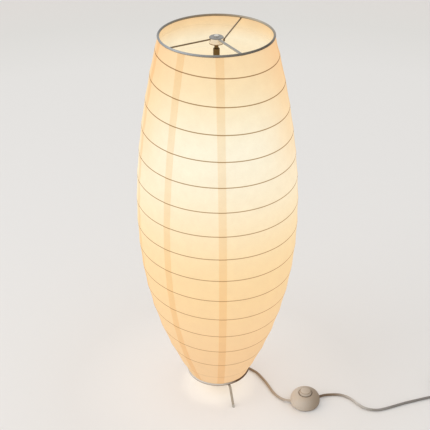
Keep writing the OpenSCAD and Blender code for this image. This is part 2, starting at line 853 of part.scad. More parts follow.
module switch_contact_block() {
    color("beige")
        at_switch()
            difference() {
                translate([0, 0, base_plate_h]) {
                    cylinder(h = contact_block_h, d = contact_block_d);
                    cylinder(h = contact_block_h + spring_post_h, d = spring_post_d);
                }
                for (end = [lead_in(), lead_out()])
                    rotate([0, 0, atan2(end.y, end.x)])
                        translate([norm(end) - seat_gap, -contact_block_d / 2, 0])
                            cube([contact_block_d, contact_block_d, switch_h]);
            }
}

module switch_button() {
    r = button_d / 2;
    top_r = r - 2;
    flange_z = switch_h - switch_wall - seat_gap - flange_h;
    color("tan")
        at_switch()
            rotate_extrude()
                polygon(concat(
                    [[0, button_top + 0.6], [top_r * 0.6, button_top + 0.35], [top_r - 1.2, button_top]],
                    [for (a = [60:-30:0]) [top_r - 1.2 + 1.2 * cos(a), button_top - 1.2 + 1.2 * sin(a)]],
                    [[r, switch_h + 0.4], [r, flange_z + flange_h], [flange_r, flange_z + flange_h],
                     [flange_r, flange_z], [button_in_r, flange_z],
                     [button_in_r, button_top - button_roof], [0, button_top - button_roof]]));
}

module switch_spring() {
    low = base_plate_h + contact_block_h + spring_wire_d / 2 + seat_gap;
    high = button_top - button_roof - spring_wire_d / 2 - seat_gap;
    steps = spring_turns * 8;
    color("silver")
        at_switch()
            swept_tube([for (k = [0:steps]) [
                spring_r * cos(360 * k / 8), spring_r * sin(360 * k / 8),
                low + (high - low) * k / steps]], spring_wire_d, 6);
}

// ---------- plug ----------

module at_plug() {
    translate([coil_xy.x + coil_end_r, coil_xy.y + lead_d, plug_z])
        children();
}

module plug_body() {
    w = plug_w / 2;
    t = plug_t / 2;
    back = plug_tail;
    front = plug_tail + plug_len;
    color("gray")
        at_plug()
            union() {
                rotate([-90, 0, 0])
                    rotate_extrude()
                        polygon([[0, 0], [lead_d / 2 + 0.4, 0], [lead_d / 2 + 0.8, 1],
                            [t - 2, back - 1], [t - 2, back + 2], [0, back + 2]]);
                intersection() {
                    translate([0, 0, -t])
                        linear_extrude(plug_t)
                            polygon([[-t, back], [t, back], [w, back + 10], [w, front - 8],
                                [w - 4, front], [4 - w, front], [-w, front - 8], [-w, back + 10]]);
                    translate([0, front, 0])
                        rotate([90, 0, 0])
                            linear_extrude(plug_len)
                                polygon([[-w, -t + 3], [-w + 3, -t], [w - 3, -t], [w, -t + 3],
                                    [w, t - 3], [w - 3, t], [-w + 3, t], [-w, t - 3]]);
                }
            }
}

module plug_pins() {
    r = pin_d / 2;
    color("silver")
        at_plug()
            for (side = [-1, 1])
                translate([side * pin_pitch / 2, plug_tail + plug_len, 0])
                    rotate([-90, 0, 0])
                        rotate_extrude()
                            polygon([[0, 0], [r, 0], [r, pin_len - 1.5], [r - 1, pin_len],
                                [0, pin_len]]);
}

hoop(0);  // hoop_01
hoop(1);  // hoop_02
hoop(2);  // hoop_03
hoop(3);  // hoop_04
hoop(4);  // hoop_05
hoop(5);  // hoop_06
hoop(6);  // hoop_07
hoop(7);  // hoop_08
hoop(8);  // hoop_09
hoop(9);  // hoop_10
hoop(10);  // hoop_11
hoop(11);  // hoop_12
hoop(12);  // hoop_13
hoop(13);  // hoop_14
hoop(14);  // hoop_15
paper_sheet(0);  // paper_sheet_1
paper_sheet(1);  // paper_sheet_2
paper_sheet(2);  // paper_sheet_3
paper_sheet(3);  // paper_sheet_4
paper_sheet(4);  // paper_sheet_5
paper_sheet(5);  // paper_sheet_6
paper_sheet(6);  // paper_sheet_7
joint_strips();
top_ring();
spider_arm_left();
spider_arm_right();
spider_arm_back();
spider_hub();
finial_nut();
harp_ferrule();
harp();
harp_saddle();
holder_base();
holder_shell();
holder_insert();
bulb_cap();
bulb_glass();
bulb_filaments();
post_upper();
post_lower();
post_lead();
base_hub();
leg(leg_az[0]);  // leg_front
leg(leg_az[1]);  // leg_right
leg(leg_az[2]);  // leg_left
leg_tips();
base_ring();
lead_gland();
lead_to_switch();
switch_base();
switch_housing();
switch_contact_block();
switch_spring();
switch_button();
switch_screws();
lead_to_plug();
lead_coil();
coil_tie();
plug_body();
plug_pins();
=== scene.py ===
import bpy, math
from mathutils import Vector, Matrix


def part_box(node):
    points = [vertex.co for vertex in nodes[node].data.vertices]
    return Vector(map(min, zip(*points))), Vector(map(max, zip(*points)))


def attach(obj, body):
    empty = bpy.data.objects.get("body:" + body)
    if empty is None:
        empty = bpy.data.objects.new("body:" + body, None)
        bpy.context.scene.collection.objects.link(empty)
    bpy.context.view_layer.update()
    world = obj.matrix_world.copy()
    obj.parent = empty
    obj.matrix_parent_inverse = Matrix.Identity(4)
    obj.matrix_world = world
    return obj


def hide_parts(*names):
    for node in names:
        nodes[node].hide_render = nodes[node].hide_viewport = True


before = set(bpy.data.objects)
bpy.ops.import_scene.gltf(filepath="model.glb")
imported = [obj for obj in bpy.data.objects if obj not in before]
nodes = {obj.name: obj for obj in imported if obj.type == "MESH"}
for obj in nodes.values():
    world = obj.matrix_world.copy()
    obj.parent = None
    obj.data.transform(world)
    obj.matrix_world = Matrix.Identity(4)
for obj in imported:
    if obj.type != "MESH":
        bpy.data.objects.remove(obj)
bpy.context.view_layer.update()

scene = bpy.context.scene
mm = 0.001


def linear(code):  # sRGB hex to the linear colour that Blender wants
    parts = [int(code[i:i + 2], 16) / 255 for i in (1, 3, 5)]
    return [p / 12.92 if p <= 0.04045 else ((p + 0.055) / 1.055) ** 2.4 for p in parts] + [1.0]


def perMetre(size):  # the scale of a pattern whose grains are this many mm across
    return 1 / (size * mm)


# i3=... sets or links input number 3 of the node, and Base_Color=... the input of that name
def addNode(tree, kind, settings=None, **inputs):
    node = tree.nodes.new(kind)
    for key, value in (settings or {}).items():
        if key != "stops":
            setattr(node, key, value)
            continue
        ramp = node.color_ramp
        while len(ramp.elements) < len(value):
            ramp.elements.new(0.5)
        for stop, (where, colour) in zip(ramp.elements, value):
            stop.position = where
            stop.color = linear(colour)
    for key, value in inputs.items():
        byNumber = key[0] == "i" and key[1:].isdigit()
        socket = node.inputs[int(key[1:])] if byNumber else node.inputs[key.replace("_", " ")]
        if isinstance(value, bpy.types.NodeSocket):
            tree.links.new(value, socket)
        else:
            socket.default_value = value
    return node


def newMaterial(name, colour, roughness, metallic=0.0, ior=None):  # a pattern may be linked over the colour
    material = bpy.data.materials.new(name)
    material.use_nodes = True
    shader = material.node_tree.nodes["Principled BSDF"]
    shader.inputs["Base Color"].default_value = linear(colour)
    shader.inputs["Roughness"].default_value = roughness
    shader.inputs["Metallic"].default_value = metallic
    if ior:
        shader.inputs["IOR"].default_value = ior
    return material, material.node_tree, shader


def addPiece(name, data, materials, replaced):
    piece = bpy.data.objects.new(name, data)
    scene.collection.objects.link(piece)
    for material in materials:
        data.materials.append(material)
    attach(piece, "lamp")
    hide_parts(*replaced)
    return piece


def sharpen(mesh, degrees):  # smooth, with hard edges where faces meet at more than this
    for polygon in mesh.polygons:
        polygon.use_smooth = True
    mesh.set_sharp_from_angle(angle=math.radians(degrees))


def wire(name, points, diameter, closed=False, roundness=5):  # round wire along points in mm
    curve = bpy.data.curves.new(name, "CURVE")
    curve.dimensions = "3D"
    curve.bevel_depth = diameter / 2 * mm
    curve.bevel_resolution = roundness
    curve.use_fill_caps = not closed
    spline = curve.splines.new("POLY")
    spline.points.add(len(points) - 1)
    for point, p in zip(spline.points, points):
        point.co = (p[0] * mm, p[1] * mm, p[2] * mm, 1)
    spline.use_cyclic_u = closed
    spline.use_smooth = True
    return curve


def smoothPath(points, steps=6):  # a smooth line through chosen points
    path = [Vector(p) for p in points]
    path = [2 * path[0] - path[1]] + path + [2 * path[-1] - path[-2]]
    out = []
    for i in range(1, len(path) - 2):
        a, b, c, d = path[i - 1:i + 3]
        for k in range(steps):
            t = k / steps
            out.append(0.5 * (2 * b + (c - a) * t + (2 * a - 5 * b + 4 * c - d) * t ** 2
                              + (3 * b - a - 3 * c + d) * t ** 3))
    return out + [path[-2]]


def ease(x):
    return x * x * (3 - 2 * x)


# metres and degrees; film is in mm, and focalPixels is in pixels of a square picture this many across
view = {"place": (0.0, -1.9283, 1.6320), "pitch": 30.78, "yaw": -0.165, "roll": -0.44,
        "focalPixels": 1000, "picture": 430, "film": 36, "clipEnd": 80}


def makeCamera():
    v = view
    pitch, yaw, roll = (math.radians(v[k]) for k in ("pitch", "yaw", "roll"))
    level = math.cos(pitch)
    forward = Vector((math.sin(yaw) * level, math.cos(yaw) * level, -math.sin(pitch)))
    side = Vector((math.cos(yaw), -math.sin(yaw), 0))
    rise = side.cross(forward)
    right = math.cos(roll) * side + math.sin(roll) * rise
    up = math.cos(roll) * rise - math.sin(roll) * side
    data = bpy.data.cameras.new("camera")
    data.sensor_width = v["film"]
    data.lens = v["film"] * v["focalPixels"] / v["picture"]
    data.clip_end = v["clipEnd"]
    camera = bpy.data.objects.new("camera", data)
    turned = Matrix((right, up, -forward)).transposed().to_4x4()
    camera.matrix_world = Matrix.Translation(v["place"]) @ turned
    scene.collection.objects.link(camera)
    scene.camera = camera


makeCamera()
print("camera placed")


# in mm: the lead, and the coil that its spare length is put away in
leadShape = {"diameter": 6.0, "coilCentre": (585, -20.5), "innerRadius": 25, "step": 6.6, "lift": 1.0,
             "dip": 1.5, "turnsLow": 2.5, "turnsClimb": 0.5, "turnsHigh": 3.25, "turnsSinking": 0.25,
             "pointsPerTurn": 48, "plugHeight": 8}
# the colours run from start to end, mm to the right of the lamp's axis: 0.23 to 0.38 is the switch;
# they paint warm shade on the lead, brown near the lamp and just past the switch
leadLook = {"start": 70, "end": 530,
            "colours": [(0.0, "#7A5C3C"), (0.11, "#AE967C"), (0.22, "#C4B9AC"), (0.38, "#5C4226"),
                        (0.46, "#846E56"), (0.57, "#CCC7C0"), (0.65, "#958F88"), (0.78, "#7E7872")],
            "roughness": 0.42, "patch": 14.3, "uneven": (0.95, 1.05)}
toSwitch = [
    (24, 32, 34), (28.5, 38, 33.6), (35.5, 44.5, 31), (44.5, 49, 25.5), (54.5, 51, 18),
    (65, 50, 10.5), (75, 47, 5), (84.5, 41.5, 3), (94, 33, 3), (101, 23.5, 3),
    (107.5, 12.5, 3), (113.5, 1.5, 3), (119, -9, 3), (123.8, -20, 3), (128.3, -31, 3),
    (133, -42, 3), (139, -52.5, 3), (146, -61.8, 3.2), (153.5, -69.3, 3.8),
    (161, -74.8, 5), (168.6, -78.3, 6.2), (176.1, -81, 6.5), (182.8, -83, 6.5),
    (189.5, -83.5, 6.5), (195.4, -82.1, 6.5)]
toCoil = [
    (222.6, -75.9, 6.5), (230.2, -74.1, 6.5), (238.6, -69.1, 6.5), (246.3, -64.1, 6.2),
    (255, -59, 5), (264.5, -55.8, 3.8), (275, -54, 3), (288, -53.8, 3), (300, -56.3, 3),
    (311, -61.7, 3), (320.5, -69.3, 3), (329, -79.5, 3), (337.5, -90.5, 3),
    (346.5, -100.3, 3), (357, -106.5, 3), (370, -109.8, 3), (384, -109.8, 3),
    (398, -106, 3), (412, -100.8, 3), (426, -95.3, 3), (440, -89.8, 3), (454, -84.6, 3),
    (468, -80, 3), (482, -75.5, 3), (496, -71, 3), (510, -66.8, 3), (524, -63.6, 3),
    (538, -62.2, 3), (552, -62, 3.4), (566, -62, 4), (579, -62, 4)]


def extrudedPvc():  # soft PVC, extruded: a satin warm grey, with painted warm shade: brown near the lamp and past the switch
    s = leadLook
    material, tree, shader = newMaterial("extrudedPvcSheath", s["colours"][-1][1], s["roughness"], ior=1.53)
    place = addNode(tree, "ShaderNodeTexCoord")
    parts = addNode(tree, "ShaderNodeSeparateXYZ", Vector=place.outputs["Object"])
    patch = addNode(tree, "ShaderNodeTexNoise", Vector=place.outputs["Object"],
                    Scale=perMetre(s["patch"]), Detail=3.0)
    along = addNode(tree, "ShaderNodeMapRange", Value=parts.outputs["X"],
                    i1=s["start"] * mm, i2=s["end"] * mm)
    # painted warm shade along the lead, by distance to the right of the lamp's axis
    tint = addNode(tree, "ShaderNodeValToRGB", {"stops": s["colours"]}, Fac=along.outputs[0])
    dulled = addNode(tree, "ShaderNodeMapRange", Value=patch.outputs["Fac"], i1=0.3, i2=0.7,
                     i3=s["uneven"][0], i4=s["uneven"][1])
    mixed = addNode(tree, "ShaderNodeMix", {"data_type": "RGBA", "blend_type": "MULTIPLY"}, i0=1.0,
                    i6=tint.outputs["Color"], i7=dulled.outputs[0])
    tree.links.new(mixed.outputs[2], shader.inputs["Base Color"])
    bump = addNode(tree, "ShaderNodeBump", Height=patch.outputs["Fac"], Strength=0.06, Distance=0.3 * mm)
    tree.links.new(bump.outputs["Normal"], shader.inputs["Normal"])
    return material


def coilPath():  # two flat layers: in along the floor, up half a turn, out on top
    s = leadShape
    flat = s["turnsLow"] + s["turnsClimb"]
    total = flat + s["turnsHigh"]
    low = s["diameter"] / 2 + s["lift"]
    high = low + s["step"]
    points = []
    for k in range(int(total * s["pointsPerTurn"]) + 1):
        t = k / s["pointsPerTurn"]
        z = high
        if t <= s["turnsLow"]:
            r = s["innerRadius"] + s["step"] * (s["turnsLow"] - t)
            z = low
        elif t < flat:
            part = (t - s["turnsLow"]) / s["turnsClimb"]
            r = s["innerRadius"] - s["dip"] * math.sin(math.pi * part)
            z = low + s["step"] * ease(part)
        else:
            r = s["innerRadius"] + s["step"] * (t - flat)
        sunk = (t - total + s["turnsSinking"]) / s["turnsSinking"]  # over 0 on the way down to the plug
        if sunk > 0:
            z = high - (high - s["plugHeight"]) * ease(sunk)
        a = 2 * math.pi * t - math.pi / 2
        points.append((s["coilCentre"][0] + r * math.cos(a), s["coilCentre"][1] + r * math.sin(a), z))
    end = points[-1]
    return points + [(end[0], end[1] + s["diameter"], end[2])]


def pathLength(points):
    return sum((Vector(b) - Vector(a)).length for a, b in zip(points, points[1:]))


def layLead(name, points, replaced):
    return addPiece(name, wire(name, points, leadShape["diameter"]), [sheath], replaced)


sheath = extrudedPvc()
firstPath = smoothPath(toSwitch)
firstLead = layLead("leadToSwitch", firstPath, ["lead_to_switch"])
secondPath = smoothPath(toCoil)[:-1] + [Vector(p) for p in coilPath()]
secondLead = layLead("leadToPlug", secondPath, ["lead_to_plug", "lead_coil"])
print("leads laid", round(pathLength(firstPath)), round(pathLength(secondPath)))


def platedSteel(name, colour, roughness, grain):  # zinc or nickel plate: soft grey shine, cloudy by grain mm
    material, tree, shader = newMaterial(name, colour, roughness, metallic=1.0)
    place = addNode(tree, "ShaderNodeTexCoord")
    cloud = addNode(tree, "ShaderNodeTexNoise", Vector=place.outputs["Object"], Scale=perMetre(grain),
                    Detail=6.0)
    rough = addNode(tree, "ShaderNodeMapRange", Value=cloud.outputs["Fac"],
                    i3=roughness - 0.08, i4=roughness + 0.10)
    tree.links.new(rough.outputs[0], shader.inputs["Roughness"])
    return material


def lacqueredSteel(name, light, dark, roughness):  # stoved lacquer on wire: satin, a 1.1 mm orange peel
    material, tree, shader = newMaterial(name, light, roughness, ior=1.5)
    place = addNode(tree, "ShaderNodeTexCoord")
    peel = addNode(tree, "ShaderNodeTexNoise", Vector=place.outputs["Object"], Scale=perMetre(1.11),
                   Detail=2.0)
    tint = addNode(tree, "ShaderNodeValToRGB", {"stops": [(0.3, dark), (0.7, light)]},
                   Fac=peel.outputs["Fac"])
    tree.links.new(tint.outputs["Color"], shader.inputs["Base Color"])
    bump = addNode(tree, "ShaderNodeBump", Height=peel.outputs["Fac"], Strength=0.12, Distance=0.2 * mm)
    tree.links.new(bump.outputs["Normal"], shader.inputs["Normal"])
    shader.inputs["Coat Weight"].default_value = 0.3
    shader.inputs["Coat Roughness"].default_value = 0.25
    return material


# round: painted highlight and shade round a ring, from the back over the left (0.25), the front (0.5) and the
# right (0.75); under: painted shade on the wire's underside, full below the first share of its
# thickness, gone at the second
topRingLook = {"round": [(0.0, "#8C7C66"), (0.22, "#70706E"), (0.38, "#B0B4B6"), (0.53, "#77726A"),
                         (0.66, "#4E4436"), (0.86, "#B4ADA0"), (1.0, "#8C7C66")],
               "under": "#5C4C38", "underFull": 0.14, "underGone": 0.38}
baseRingLook = {"round": [(0.0, "#8C8274"), (0.3, "#D8D4CE"), (0.52, "#D4CEC4"), (0.6, "#5C3E20"),
                          (0.78, "#60442A"), (1.0, "#8C8274")],
                "under": "#6E4C2A", "underFull": 0.385, "underGone": 0.585}


def steelWithPaintedLight(name, node, look):  # wire with painted light: a painted highlight and shade round it, painted shade underneath, and a rubbed tone that differs at random
    low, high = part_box(node)
    thick = high.z - low.z
    material, tree, shader = newMaterial(name, look["round"][2][1], 0.34, metallic=0.35)
    place = addNode(tree, "ShaderNodeTexCoord")
    parts = addNode(tree, "ShaderNodeSeparateXYZ", Vector=place.outputs["Object"])
    # painted highlight and shade: the colour follows the angle round the ring
    ahead = addNode(tree, "ShaderNodeMath", {"operation": "MULTIPLY"}, i0=parts.outputs["Y"], i1=-1.0)
    angle = addNode(tree, "ShaderNodeMath", {"operation": "ARCTAN2"},
                    i0=parts.outputs["X"], i1=ahead.outputs[0])
    turn = addNode(tree, "ShaderNodeMapRange", Value=angle.outputs[0], i1=-math.pi, i2=math.pi)
    tone = addNode(tree, "ShaderNodeValToRGB", {"stops": look["round"]}, Fac=turn.outputs[0])
    # painted shade on the underside of the wire
    under = addNode(tree, "ShaderNodeMapRange", {"interpolation_type": "SMOOTHSTEP"},
                    Value=parts.outputs["Z"], i1=low.z + thick * look["underFull"],
                    i2=low.z + thick * look["underGone"], i3=1.0, i4=0.0)
    both = addNode(tree, "ShaderNodeMix", {"data_type": "RGBA"}, i0=under.outputs[0],
                   i6=tone.outputs["Color"], i7=linear(look["under"]))
    rub = addNode(tree, "ShaderNodeTexNoise", Vector=place.outputs["Object"], Scale=perMetre(3.85),
                  Detail=4.0)
    wear = addNode(tree, "ShaderNodeMapRange", Value=rub.outputs["Fac"], i3=0.88, i4=1.1)
    paintedLightTone = addNode(tree, "ShaderNodeMix", {"data_type": "RGBA", "blend_type": "MULTIPLY"}, i0=1.0,
                   i6=both.outputs[2], i7=wear.outputs[0])
    tree.links.new(paintedLightTone.outputs[2], shader.inputs["Base Color"])
    return material


# in mm above the cap's underside: the brown rim fades out over rimEdge, and the grey top in over topEdge
hubLook = {"rim": "#7C5C38", "rimEdge": (1.2, 2.2), "skirt": "#EFE6D6", "top": "#817F7A",
           "topEdge": (11.7, 12.5)}


def pressedHub():  # pressed cap: grey on top, cream-white on the skirt, brown at the foot of the rim
    s = hubLook
    rimFrom, rimTo, topFrom, topTo = (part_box("spider_hub")[0].z + v * mm for v in s["rimEdge"] + s["topEdge"])
    material, tree, shader = newMaterial("enamelledPressing", s["skirt"], 0.35, ior=1.5)
    place = addNode(tree, "ShaderNodeTexCoord")
    parts = addNode(tree, "ShaderNodeSeparateXYZ", Vector=place.outputs["Object"])
    top = addNode(tree, "ShaderNodeMapRange", Value=parts.outputs["Z"], i1=topFrom, i2=topTo)
    rim = addNode(tree, "ShaderNodeMapRange", Value=parts.outputs["Z"], i1=rimFrom, i2=rimTo, i3=1.0, i4=0.0)
    upper = addNode(tree, "ShaderNodeMix", {"data_type": "RGBA"}, i0=top.outputs[0],
                    i6=linear(s["skirt"]), i7=linear(s["top"]))
    whole = addNode(tree, "ShaderNodeMix", {"data_type": "RGBA"}, i0=rim.outputs[0],
                    i6=upper.outputs[2], i7=linear(s["rim"]))
    tree.links.new(whole.outputs[2], shader.inputs["Base Color"])
    shader.inputs["Coat Weight"].default_value = 0.4
    return material


def mouldedPlastic(name, light, dark, roughness, grit=0.714, relief=0.25):
    # plastic from a spark-eroded mould: a matt grit, drawn 0.7 to 1.4 mm coarse so that it shows,
    # and a slightly uneven colour
    material, tree, shader = newMaterial(name, light, roughness, ior=1.54)
    place = addNode(tree, "ShaderNodeTexCoord")
    patch = addNode(tree, "ShaderNodeTexNoise", Vector=place.outputs["Object"], Scale=perMetre(16.7),
                    Detail=3.0)
    tint = addNode(tree, "ShaderNodeValToRGB", {"stops": [(0.35, dark), (0.65, light)]},
                   Fac=patch.outputs["Fac"])
    tree.links.new(tint.outputs["Color"], shader.inputs["Base Color"])
    grain = addNode(tree, "ShaderNodeTexVoronoi", Vector=place.outputs["Object"], Scale=perMetre(grit))
    bump = addNode(tree, "ShaderNodeBump", Height=grain.outputs["Distance"], Strength=relief,
                   Distance=0.2 * mm)
    tree.links.new(bump.outputs["Normal"], shader.inputs["Normal"])
    return material


# paintedLightFade: where the colour turns from the painted lit side to the painted shaded side, mm from the
# housing's left edge
# paintedGapShade: the button's colours from its middle to the reach, in mm, which takes in the gap round it;
# its dark stops paint shade at the edge of the top and in the gap
switchLook = {"litSide": "#E2D7C9", "shadedSide": "#927F68", "paintedLightFade": (1.5, 71.5), "rest": "#F3F1EF", "base": "#3A332B",
              "paintedGapShade": [(0.66, "#FFFFFF"), (0.74, "#C9BDAE"), (0.79, "#FFFFFF"), (0.87, "#FFFFFF"),
                        (0.91, "#8E7A62"), (1.0, "#8E7A62")],
              "reach": 16.8, "grit": 0.714}


def absWithPaintedLight():  # moulded ABS: matt grit, drawn 0.7 mm coarse to show, with painted light: paler on the side by the lamp, darker on the far side
    s = switchLook
    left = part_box("switch_housing")[0].x
    buttonLow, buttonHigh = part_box("switch_button")
    centre = (buttonLow + buttonHigh) / 2
    material, tree, shader = newMaterial("mouldedWarmGreyAbs", s["litSide"], 0.46, ior=1.54)
    place = addNode(tree, "ShaderNodeTexCoord")
    parts = addNode(tree, "ShaderNodeSeparateXYZ", Vector=place.outputs["Object"])
    # painted light across the housing: paler towards the lamp, darker away from it
    across = addNode(tree, "ShaderNodeMapRange", {"interpolation_type": "SMOOTHSTEP"},
                     Value=parts.outputs["X"], i1=left + s["paintedLightFade"][0] * mm, i2=left + s["paintedLightFade"][1] * mm)
    tint = addNode(tree, "ShaderNodeMix", {"data_type": "RGBA"}, i0=across.outputs[0],
                   i6=linear(s["litSide"]), i7=linear(s["shadedSide"]))
    # the button's dished top, with painted shade at its rim and in the gap round it, by distance from the
    # middle
    flat = addNode(tree, "ShaderNodeCombineXYZ", i0=parts.outputs["X"], i1=parts.outputs["Y"])
    away = addNode(tree, "ShaderNodeVectorMath", {"operation": "DISTANCE"}, i0=flat.outputs[0],
                   i1=(centre.x, centre.y, 0.0))
    share = addNode(tree, "ShaderNodeMapRange", Value=away.outputs["Value"], i2=s["reach"] * mm)
    paintedLightTone = addNode(tree, "ShaderNodeValToRGB", {"stops": s["paintedGapShade"]}, Fac=share.outputs[0])
    outside = addNode(tree, "ShaderNodeMath", {"operation": "GREATER_THAN"}, i0=away.outputs["Value"],
                      i1=s["reach"] * mm)
    whole = addNode(tree, "ShaderNodeMix", {"data_type": "RGBA"}, i0=outside.outputs[0],
                    i6=paintedLightTone.outputs["Color"], i7=linear(s["rest"]))
    mixed = addNode(tree, "ShaderNodeMix", {"data_type": "RGBA", "blend_type": "MULTIPLY"}, i0=1.0,
                    i6=tint.outputs[2], i7=whole.outputs[2])
    tree.links.new(mixed.outputs[2], shader.inputs["Base Color"])
    grain = addNode(tree, "ShaderNodeTexVoronoi", Vector=place.outputs["Object"], Scale=perMetre(s["grit"]))
    bump = addNode(tree, "ShaderNodeBump", Height=grain.outputs["Distance"], Strength=0.2,
                   Distance=0.2 * mm)
    tree.links.new(bump.outputs["Normal"], shader.inputs["Normal"])
    return material


bulbLook = {"glass": "#FFF4DC", "light": "#FFE9BE", "strength": 4.0, "etch": 3.33}


def frostedGlass():  # acid-etched glass over lit strips: an even warm white, the etch drawn coarse to show
    s = bulbLook
    material, tree, shader = newMaterial("acidEtchedGlass", s["glass"], 0.5, ior=1.5)
    place = addNode(tree, "ShaderNodeTexCoord")
    etch = addNode(tree, "ShaderNodeTexNoise", Vector=place.outputs["Object"], Scale=perMetre(s["etch"]),
                   Detail=4.0)
    bump = addNode(tree, "ShaderNodeBump", Height=etch.outputs["Fac"], Strength=0.15, Distance=0.2 * mm)
    tree.links.new(bump.outputs["Normal"], shader.inputs["Normal"])
    shader.inputs["Emission Color"].default_value = linear(s["light"])
    shader.inputs["Emission Strength"].default_value = s["strength"]
    return material


tieLook = {"strap": "#26241F", "thread": 1.21, "sheen": 0.3}


def nylonTie():  # woven nylon strap: crossed threads, drawn 1.2 mm apart so that they show
    s = tieLook
    material, tree, shader = newMaterial("wovenNylon", s["strap"], 0.75, ior=1.53)
    place = addNode(tree, "ShaderNodeTexCoord")
    scale = math.tau / (10 * math.sqrt(3) * s["thread"] * mm)  # a diagonal wave has 10 radians to each unit
    weave = addNode(tree, "ShaderNodeTexWave", {"bands_direction": "DIAGONAL"},
                    Vector=place.outputs["Object"], Scale=scale, Distortion=1.0)
    bump = addNode(tree, "ShaderNodeBump", Height=weave.outputs["Fac"], Strength=0.5, Distance=0.3 * mm)
    tree.links.new(bump.outputs["Normal"], shader.inputs["Normal"])
    shader.inputs["Sheen Weight"].default_value = s["sheen"]
    return material


creaseAngle = 32  # degrees, where a node's faces meet in a hard edge


def finishNode(material, *names):
    for name in names:
        data = nodes[name].data
        data.materials.clear()
        data.materials.append(material)
        sharpen(data, creaseAngle)


# lacquer and plastic take a light colour, a dark one and roughness, plate a colour, roughness and grain
finishNode(steelWithPaintedLight("ringSteelPaintedLight", "top_ring", topRingLook), "top_ring")
finishNode(steelWithPaintedLight("baseSteelPaintedLight", "base_ring", baseRingLook), "base_ring")
# painted reflection: the left and back arms are brown for the lamp's warm light they reflect from behind
finishNode(lacqueredSteel("wirePaintedBacklitBrown", "#6E5630", "#5E4826", 0.4),
           "spider_arm_left", "spider_arm_back")
finishNode(lacqueredSteel("greyLacqueredWire", "#A8A49C", "#97938A", 0.38), "spider_arm_right", "harp")
finishNode(pressedHub(), "spider_hub")
finishNode(platedSteel("zincPlatedSteel", "#D8D6D0", 0.30, 4.0), "finial_nut", "harp_saddle")
# painted shade: the ferrule is dark brown for the shade it sits in under the hub
finishNode(platedSteel("brassDarkAsPaintedShade", "#6F5C3E", 0.48, 3.33), "harp_ferrule")
finishNode(mouldedPlastic("whitePhenolic", "#E8E5DD", "#DEDBD2", 0.28, grit=1.11, relief=0.05),
           "holder_base", "holder_shell")
finishNode(mouldedPlastic("unglazedPorcelain", "#EDE9DF", "#E2DDD1", 0.6, grit=1.43, relief=0.3),
           "holder_insert", "switch_contact_block")
finishNode(platedSteel("nickelPlatedBrass", "#CFC9BB", 0.22, 2.5), "bulb_cap", "plug_pins")
finishNode(frostedGlass(), "bulb_glass", "bulb_filaments")
finishNode(lacqueredSteel("paleLacqueredSteel", "#B3A694", "#A19482", 0.34),
           "post_upper", "post_lower", "base_hub", "leg_front", "leg_right", "leg_left")
finishNode(mouldedPlastic("paleVinyl", "#B5AFA4", "#A8A297", 0.6, grit=1.0, relief=0.2), "leg_tips")
finishNode(mouldedPlastic("mouldedGreyPvc", "#8E877F", "#847D76", 0.5),
           "lead_gland", "plug_body", "post_lead")
# the switch base is dark to paint the shadow under the housing's edge
finishNode(mouldedPlastic("absDarkAsPaintedShadow", switchLook["base"], "#322C25", 0.6), "switch_base")
finishNode(absWithPaintedLight(), "switch_housing", "switch_button")
finishNode(platedSteel("brightSpringSteel", "#A9A9A6", 0.3, 1.67), "switch_spring", "switch_screws")
finishNode(nylonTie(), "coil_tie")
print("nodes finished")


# in mm; seams gives each strip's place at the top and at the foot, in degrees from the front,
# and crease is the angle, in degrees, where the skin's faces meet in a hard edge
shade = {"across": 358, "top": 240, "bottom": 148, "tall": 850, "belly": 446, "base": 56.5, "thick": 0.5,
         "topMargin": 35.5, "bottomMargin": 33, "upperPower": 1.82, "lowerPower": 2.2, "pull": 0.85,
         "seams": [(-74, -74), (-35, -39), (3, 4), (86, 86), (132, 132), (178, 178), (224, 224)],
         "stripWide": 16.5, "stripThick": 0.4, "stripGap": 0.02, "hoops": 15, "hoopWire": 1.6, "glue": 0.2,
         "around": 360, "rowsPerBand": 6, "stripAcross": 6, "hoopPoints": 120, "crease": 50}
# the hoops are laid by hand: they lean in a slow wave down the shade, and the upper ones dip to the front
# lean, swing and nod are in degrees, drop in mm, and wave, nodTo and dropTo are hoops down from the top
hoopLay = {"lean": 2.3, "swing": 1.2, "wave": 10, "nod": 3.6, "nodTo": 7.5, "drop": 3.0, "dropTo": 5}
# uneven stretch: depth in mm, waves round the shade, mm of height for each radian, start
ripples = [(0.16, 7, 60, 0.0), (0.12, 13, -35, 1.3), (0.08, 23, 21, 0.0)]

# glow, lineDepth and bulbLevel are in shares of the paper's height, and inside runs from insideFrom to the
# top; sideFrom is how far the paper faces back, from -1, the front; patch, fibre and line are in mm;
# the line keys paint each hoop's shadow, and paintedSideShade paints shade towards the sides
paperLook = {
    "pulp": "#C8B593", "strip": "#FAF1E6", "patch": 22.22, "fibre": 4.167, "uneven": (0.9, 1.06),
    "shine": 0.1,
    "glow": [(0.0, "#A87E58"), (0.2, "#B48C60"), (0.48, "#BCA27A"), (0.76, "#BCBEB4"), (0.9, "#B8AC92"),
             (1.0, "#B49872")],
    "paintedSideShade": "#FFDCBC", "sideFrom": (-0.95, -0.25), "bulbLevel": (0.60, 0.80),
    "line": (0.66, 1.54), "lineDepth": [(0.03, "#6E6E6E"), (0.11, "#DADADA"), (0.9, "#FFFFFF")],
    "lineGlow": "#B07E4A", "linePulp": "#80745A",
    "insidePulp": "#A09484", "insidePatch": 33.33, "insideFrom": 0.757,
    "inside": [(0.0, "#D0BE9E"), (0.75, "#CECAB4"), (0.94, "#C8AC80"), (1.0, "#C8A678")]}


